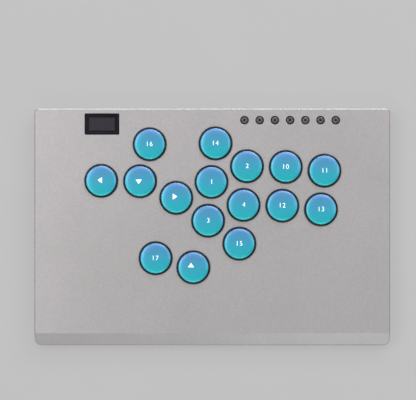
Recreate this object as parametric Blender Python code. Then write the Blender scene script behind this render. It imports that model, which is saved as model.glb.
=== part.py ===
"""A flat all-button arcade controller: an aluminium case with sixteen round keys on low-profile
switches, seven small function buttons and a display window. Metres, +Z up, +Y to the back edge.
The origin is on the table, under the middle of the case."""

import math

import bmesh
import bpy
from mathutils import Matrix, Vector

MM = 0.001

# Case. It stands on a grip mat, and its front edge has a slope for the hands.
CASE_WIDTH = 300 * MM
CASE_DEPTH = 200 * MM
CASE_BOTTOM = 1.5 * MM
CASE_TOP = 16 * MM
SIDE_WALL = 3 * MM
TOP_WALL = 2.5 * MM
SLOPE_RUN = 10.5 * MM
SLOPE_DROP = 8 * MM
FRONT_CORNER = 5.5 * MM
BACK_CORNER = 3.5 * MM
LEAST_CORNER = 1 * MM
EDGE_CHAMFER = 0.8 * MM
BASE_THICKNESS = 2 * MM
BASE_CORNER = 2 * MM
GAP = 0.3 * MM  # left between pieces that rest on each other
SLIDE_GAP = 0.2 * MM  # left around a collar in its hole

# Keys. Neighbours stand one pitch apart, so the layout is a start point and a bearing for each.
KEY_PITCH = 32.75 * MM
INDEX_STEP = 33.6 * MM
THUMB_STEP = 32.2 * MM
ROW_BEARING = 265
ABOVE_BEARING = 84
BELOW_BEARING = -36.3
CAP_RADIUS = 12.7 * MM
CAP_WALL = 1.3 * MM
CAP_TOP = 20 * MM
CAP_SKIRT = 14.6 * MM
CAP_ROOF = 1.8 * MM
CAP_FILLET = 1 * MM
KEY_TRAVEL = 3 * MM
COLLAR_RADIUS = 14.2 * MM
COLLAR_BORE = 13.05 * MM
COLLAR_TOP = 17.2 * MM
ROUND_STEPS = 20

# Function buttons, a row of small ones along the back edge.
FUNCTION_COUNT = 7
FUNCTION_FIRST = Vector((27.2 * MM, 90.35 * MM))
FUNCTION_SPAN = 77 * MM
FUNCTION_RADIUS = 2.5 * MM
FUNCTION_TOP = 15.9 * MM
FUNCTION_DIMPLE = 0.4 * MM
FUNCTION_RIM = 0.9 * MM
FUNCTION_FLANGE = 0.7 * MM
FUNCTION_CHAMFER = 0.3 * MM
FUNCTION_TRAVEL = 0.3 * MM
FUNCTION_PLAY = 0.1 * MM
GUIDE_RADIUS = 3.5 * MM
GUIDE_BORE = 2.8 * MM
SMALL_STEPS = 10

# Display, behind a window in the back left corner.
WINDOW_CENTRE = Vector((-93.1 * MM, 87.1 * MM))
WINDOW_WIDTH = 29 * MM
WINDOW_DEPTH = 17.7 * MM
WINDOW_PROUD = 0.1 * MM
WINDOW_RIM = 1.8 * MM
WINDOW_RIM_THICKNESS = 1 * MM
WINDOW_CORNER = 0.6 * MM
PANEL_GLASS = Vector((26.7 * MM, 19.3 * MM, 1.5 * MM))
DISPLAY_BOARD = Vector((27.3 * MM, 24 * MM, 1.2 * MM))
DISPLAY_HEADER = Vector((10.2 * MM, 2.5 * MM))
HEADER_INSET = 2 * MM

# Layers inside the case: heights above the table, then the outlines in plan.
BOARD_BOTTOM = 6 * MM
BOARD_THICKNESS = 1.6 * MM
PLATE_THICKNESS = 1.2 * MM
BOARD_TO_PLATE_TOP = 2.2 * MM
PLATE_TOP = BOARD_BOTTOM + BOARD_THICKNESS + BOARD_TO_PLATE_TOP
WEB_THICKNESS = 1 * MM
WEB_TOP = CASE_TOP - TOP_WALL - GAP
BOARD_HALF_WIDTH = 117.5 * MM
BOARD_FRONT = -54 * MM
BOARD_BACK = 96.4 * MM
PLATE_BACK = 83 * MM
WEB_HALF_WIDTH = 110 * MM
WEB_BACK = 86 * MM
STRIP_BACK = 95.4 * MM
STRIP_MARGIN = 4.5 * MM  # from the outer buttons' centres to the guide strip's ends
DISPLAY_NOTCH = Vector((-74 * MM, 62.5 * MM))

# Low-profile switch: a body through the plate, with a flange on top of it.
SWITCH_BODY = 13.8 * MM
SWITCH_FLANGE = 15 * MM
SWITCH_FLANGE_HEIGHT = 2.8 * MM
SWITCH_CORNER = 1.2 * MM
SWITCH_BODY_CORNER = 0.5 * MM
PLATE_CUTOUT = 14.2 * MM
SLIDER_RADIUS = 3 * MM
SLIDER_DEPTH = 0.9 * MM
SWITCH_BORE = 3.3 * MM

# Screws, with the bosses of the case that take them.
CASE_SCREW_PLACES = {
    "front_left": Vector((-139.5 * MM, -84 * MM)),
    "front_middle": Vector((0, -84 * MM)),
    "front_right": Vector((139.5 * MM, -84 * MM)),
    "back_left": Vector((-139.5 * MM, 84 * MM)),
    "back_middle": Vector((-26 * MM, 90.5 * MM)),
    "back_right": Vector((139.5 * MM, 84 * MM)),
}
BOARD_SCREW_PLACES = {
    "front_left": Vector((-114 * MM, -46 * MM)),
    "front_right": Vector((114 * MM, -46 * MM)),
    "back_left": Vector((-114 * MM, 56 * MM)),
    "back_right": Vector((114 * MM, 75 * MM)),
}
CASE_BOSS_RADIUS = 3.5 * MM
BOARD_BOSS_RADIUS = 3 * MM
THREAD_RADIUS = 1.25 * MM
THREAD_HOLE = 1.55 * MM
CASE_HEAD_RADIUS = 2.8 * MM
CASE_HEAD_HEIGHT = 1.5 * MM
CASE_HEAD_SINK = 0.1 * MM
BOARD_HEAD_RADIUS = 2.4 * MM
BOARD_HEAD_HEIGHT = 1.4 * MM
BOARD_HEAD_CROWN = 0.5 * MM  # how far the round head draws in at its top
SOCKET_RADIUS = 1 * MM
SOCKET_DEPTH = 0.9 * MM
CASE_SCREW_TIP = 10.5 * MM
BOARD_SCREW_TIP = 12.5 * MM
SCREW_STEPS = 10

# Grip mat under the base plate, inside the ring of case screws.
MAT_WIDTH = 264 * MM
MAT_DEPTH = 156 * MM
MAT_CORNER = 8 * MM

# Socket for the data cable, in the middle of the back edge.
PORT_WIDTH = 8.94 * MM
PORT_HEIGHT = 3.16 * MM
PORT_LENGTH = 7.3 * MM
PORT_SHEET = 0.3 * MM
PORT_END = 1 * MM
PORT_TONGUE = Vector((6.7 * MM, 0.7 * MM))
PORT_POCKET = Vector((13 * MM, 1.5 * MM, 7.4 * MM))
PORT_FACE_Y = CASE_DEPTH / 2 - PORT_POCKET.y
PORT_CENTRE_Z = BOARD_BOTTOM + BOARD_THICKNESS + GAP + PORT_HEIGHT / 2

# Parts soldered to the board: tactile switches on top, chips underneath.
TACT_SIZE = 6 * MM
TACT_HEIGHT = 3.5 * MM
CHIP_PLACES = {
    "controller": (Vector((-30 * MM, -5 * MM)), 7 * MM),
    "memory": (Vector((-18 * MM, -5 * MM)), 5 * MM),
    "regulator": (Vector((-6 * MM, -8 * MM)), 4 * MM),
}
CHIP_HEIGHT = 0.9 * MM
SOLDER_SINK = 0.2 * MM

CUT_SPARE = 1 * MM  # how far a cutter runs past the face it cuts
ROUND_END = 0.499  # corner radius of a round-ended outline, in heights
SMOOTH_ANGLE = 40  # degrees
MERGE_DISTANCE = 1e-7
UPWARD = 0.5  # a face of the case's top or slope has at least this much of its normal along Z


def key_layout():
    """The centre of each key, in plan."""

    def stepped(start, bearing, distance=KEY_PITCH):
        angle = math.radians(bearing)
        return start + distance * Vector((math.cos(angle), math.sin(angle)))

    places = {"left": Vector((-93.7 * MM, 39.2 * MM))}
    places["down"] = stepped(places["left"], -0.6)
    places["right"] = stepped(places["down"], -24.6, INDEX_STEP)
    places["upper_thumb"] = stepped(places["down"], 75.4, THUMB_STEP)

    places["lower_thumb"] = Vector((-47.8 * MM, -26.1 * MM))
    places["up"] = stepped(places["lower_thumb"], -13.6)

    places["top_1"] = Vector((-0.7 * MM, 38.2 * MM))
    places["top_2"] = stepped(places["top_1"], 24)
    places["top_3"] = stepped(places["top_2"], -1.1)
    places["top_4"] = stepped(places["top_3"], -5.5)
    for column in range(1, 5):
        places[f"bottom_{column}"] = stepped(places[f"top_{column}"], ROW_BEARING)
    places["above"] = stepped(places["top_1"], ABOVE_BEARING)
    places["below"] = stepped(places["bottom_1"], BELOW_BEARING)
    return places


def function_places():
    pitch = FUNCTION_SPAN / (FUNCTION_COUNT - 1)
    return [FUNCTION_FIRST + Vector((pitch * n, 0)) for n in range(FUNCTION_COUNT)]


# Materials


def material(name, colour, roughness, metallic=0.0):
    made = bpy.data.materials.new(name)
    made.use_nodes = True
    shader = made.node_tree.nodes["Principled BSDF"]
    shader.inputs["Base Color"].default_value = (*colour, 1)
    shader.inputs["Roughness"].default_value = roughness
    shader.inputs["Metallic"].default_value = metallic
    return made


def make_materials():
    return {
        "aluminium": material("satin_aluminium", (0.46, 0.45, 0.455), 0.38, 1.0),
        "base": material("base_aluminium", (0.06, 0.06, 0.065), 0.5, 1.0),
        "cap": material("blue_green_cap", (0.06, 0.4, 0.56), 0.3),
        "collar": material("black_plastic", (0.012, 0.011, 0.011), 0.35),
        "button": material("grey_button", (0.12, 0.12, 0.12), 0.3, 0.8),
        "window": material("smoked_window", (0.012, 0.012, 0.014), 0.08),
        "glass": material("display_glass", (0.04, 0.038, 0.05), 0.12),
        "board": material("board_green", (0.01, 0.05, 0.03), 0.5),
        "steel": material("steel", (0.5, 0.5, 0.5), 0.3, 1.0),
        "switch": material("switch_housing", (0.02, 0.02, 0.022), 0.45),
        "rubber": material("grip_rubber", (0.015, 0.015, 0.015), 0.9),
    }


# Shapes


def bmesh_object(name, shape, finish=None):
    """A new object from a bmesh, with its faces pointing outwards."""
    bmesh.ops.recalc_face_normals(shape, faces=shape.faces)
    mesh = bpy.data.meshes.new(name)
    shape.to_mesh(mesh)
    shape.free()
    made = bpy.data.objects.new(name, mesh)
    bpy.context.scene.collection.objects.link(made)
    if finish:
        made.data.materials.append(finish)
    return made


def rounded_outline(width, depth, radii, steps=4, centre=(0, 0)):
    """Points round a rectangle, anticlockwise from its back right corner. radii has one radius
    for each corner: back right, back left, front left, front right."""
    points = []
    for corner, radius in enumerate(radii):
        side_x = 1 if corner in (0, 3) else -1
        side_y = 1 if corner in (0, 1) else -1
        arc_x = centre[0] + side_x * (width / 2 - radius)
        arc_y = centre[1] + side_y * (depth / 2 - radius)
        for step in range(steps + 1):
            angle = math.radians(90 * (corner + step / steps))
            points.append((arc_x + radius * math.cos(angle), arc_y + radius * math.sin(angle)))
    return points


def add_prism(shape, outline, bottom, top):
    """A straight prism on an outline in plan."""
    corners = [shape.verts.new((x, y, bottom)) for x, y in outline]
    lid = shape.faces.new(corners)
    raised = bmesh.ops.extrude_face_region(shape, geom=[lid])["geom"]
    moved = [item for item in raised if isinstance(item, bmesh.types.BMVert)]
    bmesh.ops.translate(shape, verts=moved, vec=(0, 0, top - bottom))


def add_cylinder(shape, place, radius, bottom, top, steps=ROUND_STEPS):
    middle = Matrix.Translation((place[0], place[1], (bottom + top) / 2))
    bmesh.ops.create_cone(
        shape,
        cap_ends=True,
        segments=steps,
        radius1=radius,
        radius2=radius,
        depth=top - bottom,
        matrix=middle,
    )


def add_box(shape, centre, size):
    place = Matrix.Translation(centre) @ Matrix.Diagonal((*size, 1))
    bmesh.ops.create_cube(shape, size=1, matrix=place)


def add_turned(shape, profile, steps):
    """A solid turned round the Z axis, from a profile that starts and ends on the axis."""
    corners = [shape.verts.new((radius, 0, height)) for radius, height in profile]
    edges = [shape.edges.new(pair) for pair in zip(corners, corners[1:])]
    bmesh.ops.spin(
        shape,
        geom=corners + edges,
        cent=(0, 0, 0),
        axis=(0, 0, 1),
        steps=steps,
        angle=math.tau,
        use_merge=True,
    )
    bmesh.ops.remove_doubles(shape, verts=shape.verts, dist=MERGE_DISTANCE)


def combined(base, *tools):
    """The base with Boolean tools used on it in turn. Each tool is an operation and its bmesh."""
    helpers = []
    for number, (operation, shape) in enumerate(tools):
        helper = bmesh_object(f"{base.name}_tool_{number}", shape)
        modifier = base.modifiers.new(helper.name, "BOOLEAN")
        modifier.operation = operation
        modifier.object = helper
        modifier.solver = "EXACT"
        helpers.append(helper)
    bpy.context.view_layer.update()
    graph = bpy.context.evaluated_depsgraph_get()
    finished = bpy.data.meshes.new_from_object(base.evaluated_get(graph))
    base.modifiers.clear()
    base.data = finished
    for helper in helpers:
        bpy.data.objects.remove(helper)
    return base


def shade(made):
    """Smooth round sides, sharp corners."""
    made.data.shade_smooth()
    made.data.set_sharp_from_angle(angle=math.radians(SMOOTH_ANGLE))
    return made


def placed_copies(source, prefix, places):
    """One object for each place, all with the source's mesh. The source becomes the first."""
    for number, (name, place) in enumerate(places.items()):
        copy = source if number == 0 else source.copy()
        if number:
            bpy.context.scene.collection.objects.link(copy)
        copy.name = f"{prefix}_{name}"
        copy.location = (place[0], place[1], 0)


def absorb(shape, addition):
    """Add one bmesh to another, and free the added one."""
    carrier = bpy.data.meshes.new("carrier")
    addition.to_mesh(carrier)
    addition.free()
    shape.from_mesh(carrier)
    bpy.data.meshes.remove(carrier)


# Case


def case_block(inset, bottom, top, chamfer=0.0):
    """The case's outer shape, or its cavity, as the outer shape drawn in by the walls."""
    shape = bmesh.new()
    corners = (BACK_CORNER, BACK_CORNER, FRONT_CORNER, FRONT_CORNER)
    radii = [max(radius - inset, LEAST_CORNER) for radius in corners]
    outline = rounded_outline(CASE_WIDTH - 2 * inset, CASE_DEPTH - 2 * inset, radii)
    add_prism(shape, outline, bottom, top)
    slope_normal = Vector((0, -SLOPE_DROP, SLOPE_RUN)).normalized()
    crease = Vector((0, -CASE_DEPTH / 2 + SLOPE_RUN, CASE_TOP))
    wall = TOP_WALL if inset else 0.0
    cut = bmesh.ops.bisect_plane(
        shape,
        geom=shape.verts[:] + shape.edges[:] + shape.faces[:],
        plane_co=crease - slope_normal * wall,
        plane_no=slope_normal,
        clear_outer=True,
    )
    rim = [item for item in cut["geom_cut"] if isinstance(item, bmesh.types.BMEdge)]
    bmesh.ops.edgeloop_fill(shape, edges=rim)
    if chamfer:
        bmesh.ops.recalc_face_normals(shape, faces=shape.faces)
        raised = [face for face in shape.faces if face.normal.z > UPWARD]
        crease_edges = set(raised[0].edges) & set(raised[1].edges)
        edges = {edge for face in raised for edge in face.edges} - crease_edges
        bmesh.ops.bevel(
            shape,
            geom=list(edges),
            offset=chamfer,
            offset_type="OFFSET",
            segments=1,
            affect="EDGES",
        )
    return shape


def boss_shapes():
    """Posts under the top of the case, for the case screws and for the board screws."""
    bosses = bmesh.new()
    inside_top = CASE_TOP - TOP_WALL / 2
    for place in CASE_SCREW_PLACES.values():
        foot = CASE_BOTTOM + BASE_THICKNESS + GAP
        add_cylinder(bosses, place, CASE_BOSS_RADIUS, foot, inside_top, SCREW_STEPS)
    for place in BOARD_SCREW_PLACES.values():
        add_cylinder(bosses, place, BOARD_BOSS_RADIUS, PLATE_TOP + GAP, inside_top, SCREW_STEPS)
    return bosses


def case_openings(keys):
    """Everything cut from the case: key and button holes, the window, screw holes, the port."""
    openings = bmesh.new()
    below = CASE_TOP - TOP_WALL - CUT_SPARE
    above = CASE_TOP + CUT_SPARE
    for place in keys.values():
        add_cylinder(openings, place, COLLAR_RADIUS + SLIDE_GAP, below, above)
    for place in function_places():
        add_cylinder(openings, place, GUIDE_RADIUS + SLIDE_GAP, below, above, SMALL_STEPS)
    window = rounded_outline(
        WINDOW_WIDTH + 2 * SLIDE_GAP,
        WINDOW_DEPTH + 2 * SLIDE_GAP,
        [WINDOW_CORNER + SLIDE_GAP] * 4,
        steps=2,
        centre=WINDOW_CENTRE,
    )
    add_prism(openings, window, below, above)
    for place in [*CASE_SCREW_PLACES.values(), *BOARD_SCREW_PLACES.values()]:
        add_cylinder(openings, place, THREAD_HOLE, 0, CASE_TOP - TOP_WALL, SCREW_STEPS)
    add_port_slot(openings, PORT_WIDTH + 2 * GAP, PORT_HEIGHT + 2 * GAP, 3 * SIDE_WALL)
    add_port_slot(openings, PORT_POCKET.x, PORT_POCKET.z, 2 * PORT_POCKET.y)
    return openings


def add_port_slot(shape, width, height, length):
    """A slot with round ends through the back wall, centred on the wall's outer face."""
    outline = rounded_outline(width, height, [height * ROUND_END] * 4, steps=3)
    slot = bmesh.new()
    add_prism(slot, outline, -length / 2, length / 2)
    turn = Matrix.Rotation(math.radians(90), 4, "X")
    place = Matrix.Translation((0, CASE_DEPTH / 2, PORT_CENTRE_Z)) @ turn
    bmesh.ops.transform(slot, matrix=place, verts=slot.verts)
    absorb(shape, slot)


def make_top_shell(finish, keys):
    shell = bmesh_object(
        "top_shell",
        case_block(0, CASE_BOTTOM, CASE_TOP, EDGE_CHAMFER),
        finish,
    )
    cavity = case_block(SIDE_WALL, -CUT_SPARE, CASE_TOP - TOP_WALL)
    tools = ("DIFFERENCE", cavity), ("UNION", boss_shapes()), ("DIFFERENCE", case_openings(keys))
    shade(combined(shell, *tools))


def make_base_plate(finish):
    shape = bmesh.new()
    inset = SIDE_WALL + GAP
    outline = rounded_outline(CASE_WIDTH - 2 * inset, CASE_DEPTH - 2 * inset, [BASE_CORNER] * 4, steps=3)
    add_prism(shape, outline, CASE_BOTTOM, CASE_BOTTOM + BASE_THICKNESS)
    plate = bmesh_object("base_plate", shape, finish)
    holes = bmesh.new()
    wide = CASE_HEAD_RADIUS + GAP
    narrow = THREAD_HOLE
    for place in CASE_SCREW_PLACES.values():
        countersink = bmesh.new()
        profile = [
            (0, 0),
            (wide, 0),
            (wide, CASE_BOTTOM + CASE_HEAD_SINK),
            (narrow, CASE_BOTTOM + CASE_HEAD_HEIGHT + CASE_HEAD_SINK),
            (narrow, CASE_BOTTOM + BASE_THICKNESS + CUT_SPARE),
            (0, CASE_BOTTOM + BASE_THICKNESS + CUT_SPARE),
        ]
        add_turned(countersink, profile, SCREW_STEPS)
        bmesh.ops.translate(countersink, verts=countersink.verts, vec=(place[0], place[1], 0))
        absorb(holes, countersink)
    shade(combined(plate, ("DIFFERENCE", holes)))


def make_grip_mat(finish):
    shape = bmesh.new()
    outline = rounded_outline(MAT_WIDTH, MAT_DEPTH, [MAT_CORNER] * 4)
    add_prism(shape, outline, 0, CASE_BOTTOM - GAP)
    shade(bmesh_object("grip_mat", shape, finish))


# Screws


def make_case_screws(finish):
    """Countersunk screws, up through the base plate into the bosses."""
    foot = CASE_BOTTOM + CASE_HEAD_SINK
    shape = bmesh.new()
    profile = [
        (0, foot + SOCKET_DEPTH),
        (SOCKET_RADIUS, foot + SOCKET_DEPTH),
        (SOCKET_RADIUS, foot),
        (CASE_HEAD_RADIUS, foot),
        (THREAD_RADIUS, foot + CASE_HEAD_HEIGHT),
        (THREAD_RADIUS, CASE_SCREW_TIP),
        (0, CASE_SCREW_TIP),
    ]
    add_turned(shape, profile, SCREW_STEPS)
    screw = shade(bmesh_object("case_screw", shape, finish))
    placed_copies(screw, "case_screw", CASE_SCREW_PLACES)


def make_board_screws(finish):
    """Round-headed screws, up through the board and the switch plate into the bosses."""
    head_top = BOARD_BOTTOM - GAP
    foot = head_top - BOARD_HEAD_HEIGHT
    shape = bmesh.new()
    profile = [
        (0, foot + SOCKET_DEPTH),
        (SOCKET_RADIUS, foot + SOCKET_DEPTH),
        (SOCKET_RADIUS, foot),
        (BOARD_HEAD_RADIUS - BOARD_HEAD_CROWN, foot),
        (BOARD_HEAD_RADIUS, foot + BOARD_HEAD_CROWN),
        (BOARD_HEAD_RADIUS, head_top),
        (THREAD_RADIUS, head_top),
        (THREAD_RADIUS, BOARD_SCREW_TIP),
        (0, BOARD_SCREW_TIP),
    ]
    add_turned(shape, profile, SCREW_STEPS)
    screw = shade(bmesh_object("board_screw", shape, finish))
    placed_copies(screw, "board_screw", BOARD_SCREW_PLACES)


# Keys


def make_key_caps(finish, keys):
    """Round caps, each hollow underneath, with a slider that runs in its switch."""
    inner = CAP_RADIUS - CAP_WALL
    ceiling = CAP_TOP - CAP_ROOF
    slider_foot = PLATE_TOP + GAP + SWITCH_FLANGE_HEIGHT - SLIDER_DEPTH
    profile = [
        (0, CAP_TOP),
        (CAP_RADIUS - CAP_FILLET, CAP_TOP),
        (CAP_RADIUS, CAP_TOP - CAP_FILLET),
        (CAP_RADIUS, CAP_SKIRT),
        (inner, CAP_SKIRT),
        (inner, ceiling),
        (SLIDER_RADIUS, ceiling),
        (SLIDER_RADIUS, slider_foot),
        (0, slider_foot),
    ]
    shape = bmesh.new()
    add_turned(shape, profile, ROUND_STEPS)
    cap = shade(bmesh_object("key_cap", shape, finish))
    placed_copies(cap, "key_cap", keys)


def square_outline(size, corner):
    return rounded_outline(size, size, [corner] * 4, steps=1)


def make_switches(finish, keys):
    """Low-profile switch housings: the flange rests on the plate, the body hangs through it."""
    flange_bottom = PLATE_TOP + GAP
    flange_top = flange_bottom + SWITCH_FLANGE_HEIGHT
    body_bottom = BOARD_BOTTOM + BOARD_THICKNESS + GAP
    bore_bottom = flange_top - SLIDER_DEPTH - KEY_TRAVEL - GAP
    shape = bmesh.new()
    add_prism(shape, square_outline(SWITCH_FLANGE, SWITCH_CORNER), flange_bottom, flange_top)
    switch = bmesh_object("switch", shape, finish)
    body = bmesh.new()
    add_prism(body, square_outline(SWITCH_BODY, SWITCH_BODY_CORNER), body_bottom, flange_bottom + CUT_SPARE)
    bore = bmesh.new()
    add_cylinder(bore, (0, 0), SWITCH_BORE, bore_bottom, flange_top + CUT_SPARE, SMALL_STEPS)
    combined(switch, ("UNION", body), ("DIFFERENCE", bore))
    shade(switch)
    placed_copies(switch, "switch", keys)


def notched_outline(half_width, front, back):
    """A rectangle with its back left corner cut away round the display."""
    return [
        (half_width, back),
        (DISPLAY_NOTCH.x, back),
        (DISPLAY_NOTCH.x, DISPLAY_NOTCH.y),
        (-half_width, DISPLAY_NOTCH.y),
        (-half_width, front),
        (half_width, front),
    ]


def make_switch_plate(finish, keys):
    """The steel plate that the switches clip into."""
    shape = bmesh.new()
    outline = notched_outline(BOARD_HALF_WIDTH, BOARD_FRONT, PLATE_BACK)
    add_prism(shape, outline, PLATE_TOP - PLATE_THICKNESS, PLATE_TOP)
    plate = bmesh_object("switch_plate", shape, finish)
    holes = bmesh.new()
    for place in keys.values():
        middle = (place[0], place[1], PLATE_TOP - PLATE_THICKNESS / 2)
        add_box(holes, middle, (PLATE_CUTOUT, PLATE_CUTOUT, 3 * PLATE_THICKNESS))
    for place in BOARD_SCREW_PLACES.values():
        add_cylinder(holes, place, THREAD_HOLE, BOARD_BOTTOM, CASE_TOP, SCREW_STEPS)
    combined(plate, ("DIFFERENCE", holes))


def make_tube_moulding(name, finish, outline, places, radius, bore, top, steps):
    """A thin web under the top of the case, with a tube that stands up from it at each place."""
    web_bottom = WEB_TOP - WEB_THICKNESS
    inside_web = web_bottom + WEB_THICKNESS / 2
    web = bmesh.new()
    add_prism(web, outline, web_bottom, WEB_TOP)
    moulding = bmesh_object(name, web, finish)
    tubes = bmesh.new()
    bores = bmesh.new()
    for place in places:
        add_cylinder(tubes, place, radius, inside_web, top, steps)
        add_cylinder(bores, place, bore, web_bottom - CUT_SPARE, top + CUT_SPARE, steps)
    shade(combined(moulding, ("UNION", tubes), ("DIFFERENCE", bores)))


def make_collar_frame(finish, keys):
    """The black collars round the keys, in one moulding."""
    outline = notched_outline(WEB_HALF_WIDTH, BOARD_FRONT, WEB_BACK)
    sizes = COLLAR_RADIUS, COLLAR_BORE, COLLAR_TOP, ROUND_STEPS
    make_tube_moulding("collar_frame", finish, outline, keys.values(), *sizes)


def make_guide_strip(finish):
    """The black guides round the function buttons, in a moulding behind the collar frame."""
    places = function_places()
    width = FUNCTION_SPAN + 2 * STRIP_MARGIN
    front = WEB_BACK + GAP
    centre = (places[0].x + FUNCTION_SPAN / 2, (front + STRIP_BACK) / 2)
    outline = rounded_outline(width, STRIP_BACK - front, [LEAST_CORNER] * 4, steps=1, centre=centre)
    sizes = GUIDE_RADIUS, GUIDE_BORE, CASE_TOP, SMALL_STEPS
    make_tube_moulding("guide_strip", finish, outline, places, *sizes)


# Function buttons


def make_function_caps(finish):
    """Small caps with a dimple, each kept in its guide by a flange over a tactile switch."""
    flange_top = WEB_TOP - WEB_THICKNESS - GAP
    tact_top = BOARD_BOTTOM + BOARD_THICKNESS + TACT_HEIGHT
    flange_bottom = tact_top + FUNCTION_TRAVEL + FUNCTION_PLAY
    profile = [
        (0, FUNCTION_TOP - FUNCTION_DIMPLE),
        (FUNCTION_RADIUS - FUNCTION_RIM, FUNCTION_TOP),
        (FUNCTION_RADIUS - FUNCTION_CHAMFER, FUNCTION_TOP),
        (FUNCTION_RADIUS, FUNCTION_TOP - FUNCTION_CHAMFER),
        (FUNCTION_RADIUS, flange_top),
        (FUNCTION_RADIUS + FUNCTION_FLANGE, flange_top),
        (FUNCTION_RADIUS + FUNCTION_FLANGE, flange_bottom),
        (0, flange_bottom),
    ]
    shape = bmesh.new()
    add_turned(shape, profile, SMALL_STEPS)
    cap = shade(bmesh_object("function_cap", shape, finish))
    places = {str(number): place for number, place in enumerate(function_places(), 1)}
    placed_copies(cap, "function_cap", places)


# Electronics


def make_main_board(finish):
    """The circuit board with the parts that are soldered to it."""
    board_top = BOARD_BOTTOM + BOARD_THICKNESS
    middle_y = (BOARD_FRONT + BOARD_BACK) / 2
    shape = bmesh.new()
    size = (2 * BOARD_HALF_WIDTH, BOARD_BACK - BOARD_FRONT, BOARD_THICKNESS)
    add_box(shape, (0, middle_y, BOARD_BOTTOM + BOARD_THICKNESS / 2), size)
    board = bmesh_object("main_board", shape, finish)
    parts = bmesh.new()
    for place in function_places():
        height = TACT_HEIGHT + SOLDER_SINK
        middle = (place[0], place[1], board_top + TACT_HEIGHT - height / 2)
        add_box(parts, middle, (TACT_SIZE, TACT_SIZE, height))
    for place, side in CHIP_PLACES.values():
        height = CHIP_HEIGHT + SOLDER_SINK
        middle = (place[0], place[1], BOARD_BOTTOM - CHIP_HEIGHT + height / 2)
        add_box(parts, middle, (side, side, height))
    holes = bmesh.new()
    for place in BOARD_SCREW_PLACES.values():
        add_cylinder(holes, place, THREAD_HOLE, 0, CASE_TOP, SCREW_STEPS)
    clearance = CASE_BOSS_RADIUS + 2 * GAP
    add_cylinder(holes, CASE_SCREW_PLACES["back_middle"], clearance, 0, CASE_TOP, SCREW_STEPS)
    combined(board, ("UNION", parts), ("DIFFERENCE", holes))


def make_display(materials):
    """The window in the case, the glass panel under it and the small board that carries it."""
    case_inside = CASE_TOP - TOP_WALL
    lens = bmesh.new()
    outline = rounded_outline(
        WINDOW_WIDTH,
        WINDOW_DEPTH,
        [WINDOW_CORNER] * 4,
        steps=2,
        centre=WINDOW_CENTRE,
    )
    rim_top = case_inside - GAP
    rim_bottom = rim_top - WINDOW_RIM_THICKNESS
    inside_rim = rim_top - WINDOW_RIM_THICKNESS / 2
    add_prism(lens, outline, inside_rim, CASE_TOP + WINDOW_PROUD)
    window = bmesh_object("display_window", lens, materials["window"])
    rim = bmesh.new()
    back = BOARD_BACK
    front = WINDOW_CENTRE.y - WINDOW_DEPTH / 2 - WINDOW_RIM
    middle = (WINDOW_CENTRE.x, (back + front) / 2, (rim_top + rim_bottom) / 2)
    add_box(rim, middle, (WINDOW_WIDTH + 2 * WINDOW_RIM, back - front, rim_top - rim_bottom))
    combined(window, ("UNION", rim))

    panel_top = rim_bottom - GAP
    panel_y = BOARD_BACK - PANEL_GLASS.y / 2
    panel = bmesh.new()
    middle = (WINDOW_CENTRE.x, panel_y, panel_top - PANEL_GLASS.z / 2)
    add_box(panel, middle, PANEL_GLASS)
    bmesh_object("display_panel", panel, materials["glass"])

    board_top = panel_top - PANEL_GLASS.z - GAP
    board_y = BOARD_BACK - DISPLAY_BOARD.y / 2
    card = bmesh.new()
    middle = (WINDOW_CENTRE.x, board_y, board_top - DISPLAY_BOARD.z / 2)
    add_box(card, middle, DISPLAY_BOARD)
    board = bmesh_object("display_board", card, materials["board"])
    header = bmesh.new()
    header_bottom = BOARD_BOTTOM + BOARD_THICKNESS + GAP
    header_top = board_top - DISPLAY_BOARD.z / 2
    header_size = (*DISPLAY_HEADER, header_top - header_bottom)
    header_y = BOARD_BACK - DISPLAY_BOARD.y + HEADER_INSET
    add_box(header, (WINDOW_CENTRE.x, header_y, (header_top + header_bottom) / 2), header_size)
    combined(board, ("UNION", header))


def make_port(finish):
    """The data socket: a rounded metal tube, closed behind, with a tongue inside."""
    mouth = bmesh.new()
    sheet = PORT_SHEET
    outer = rounded_outline(PORT_WIDTH, PORT_HEIGHT, [PORT_HEIGHT * ROUND_END] * 4, steps=3)
    add_prism(mouth, outer, 0, PORT_LENGTH)
    port = bmesh_object("usb_socket", mouth, finish)
    hollow = bmesh.new()
    height = PORT_HEIGHT - 2 * sheet
    inner = rounded_outline(PORT_WIDTH - 2 * sheet, height, [height * ROUND_END] * 4, steps=3)
    add_prism(hollow, inner, -CUT_SPARE, PORT_LENGTH - PORT_END)
    tongue = bmesh.new()
    tongue_length = PORT_LENGTH - PORT_END
    add_box(tongue, (0, 0, PORT_LENGTH - tongue_length / 2 - PORT_END / 2), (*PORT_TONGUE, tongue_length))
    combined(port, ("DIFFERENCE", hollow), ("UNION", tongue))
    port.rotation_euler = (math.radians(90), 0, 0)
    port.location = (0, PORT_FACE_Y, PORT_CENTRE_Z)
    shade(port)


def build():
    for leftover in list(bpy.data.objects):
        bpy.data.objects.remove(leftover)
    materials = make_materials()
    keys = key_layout()
    make_top_shell(materials["aluminium"], keys)
    make_base_plate(materials["base"])
    make_grip_mat(materials["rubber"])
    make_collar_frame(materials["collar"], keys)
    make_guide_strip(materials["collar"])
    make_switch_plate(materials["steel"], keys)
    make_switches(materials["switch"], keys)
    make_key_caps(materials["cap"], keys)
    make_function_caps(materials["button"])
    make_main_board(materials["board"])
    make_display(materials)
    make_port(materials["steel"])
    make_case_screws(materials["steel"])
    make_board_screws(materials["steel"])


build()
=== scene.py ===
# %% [markdown]
# # A flat all-button arcade controller
#
# This lesson dresses a finished mechanical model. The model gives every size and place, and tells
# us which pieces move. We make the surfaces that the eye sees, and let each one ride on the
# mechanical body it belongs to.

# %% Load the frame
import math

import bmesh
import bpy
from mathutils import Matrix, Vector


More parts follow.
